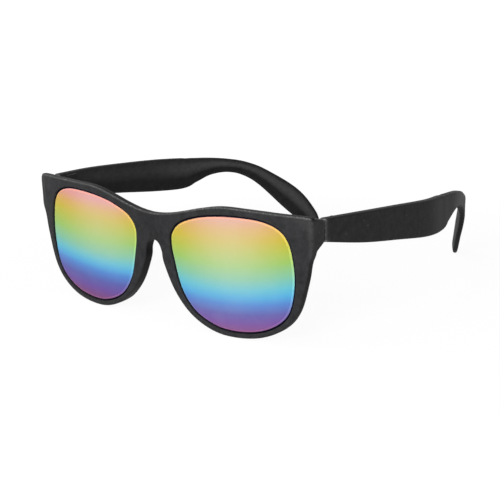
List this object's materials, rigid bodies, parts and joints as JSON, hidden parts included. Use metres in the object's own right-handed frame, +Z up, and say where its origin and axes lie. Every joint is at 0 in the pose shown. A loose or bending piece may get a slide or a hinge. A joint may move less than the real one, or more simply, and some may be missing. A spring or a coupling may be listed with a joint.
{
  "type": "mirrored sunglasses",
  "caption": "Wrapped one-piece front with mirrored lenses and broad curved temples that fold inward on barrel hinges.",
  "frame": {"origin": "under the middle of the part's box, on the floor that the rims and the temple tips stand on", "axes": "+Z up, the front faces -Y and the temples run back along +Y, +X is the wearer's left"},
  "size_m": [0.1472, 0.1502, 0.0485],
  "materials": {
    "frame_plastic": "matte",
    "lens_mirror": "mirror coated",
    "hinge_black": "black lacquer",
    "hinge_metal": "plain nickel"
  },
  "bodies": {
    "front": {"front_frame": "frame_plastic", "lens_left": "lens_mirror", "lens_right": "lens_mirror", "front_leaf_left": "hinge_black", "front_leaf_right": "hinge_black", "hinge_screw_left": "hinge_metal", "hinge_screw_right": "hinge_metal"},
    "left_temple": {"temple_left": "frame_plastic", "temple_leaf_left": "hinge_black"},
    "right_temple": {"temple_right": "frame_plastic", "temple_leaf_right": "hinge_black"}
  },
  "joints": [
    {"name": "left_fold", "type": "hinge", "parent": "front", "child": "left_temple", "pos_m": [0.06465, -0.06081, 0.04242], "axis": [0, -0.0175, 0.9998], "range_deg": [0, 81]},
    {"name": "right_fold", "type": "hinge", "parent": "front", "child": "right_temple", "pos_m": [-0.06465, -0.06081, 0.04242], "axis": [0, 0.0175, -0.9998], "range_deg": [0, 70]}
  ]
}
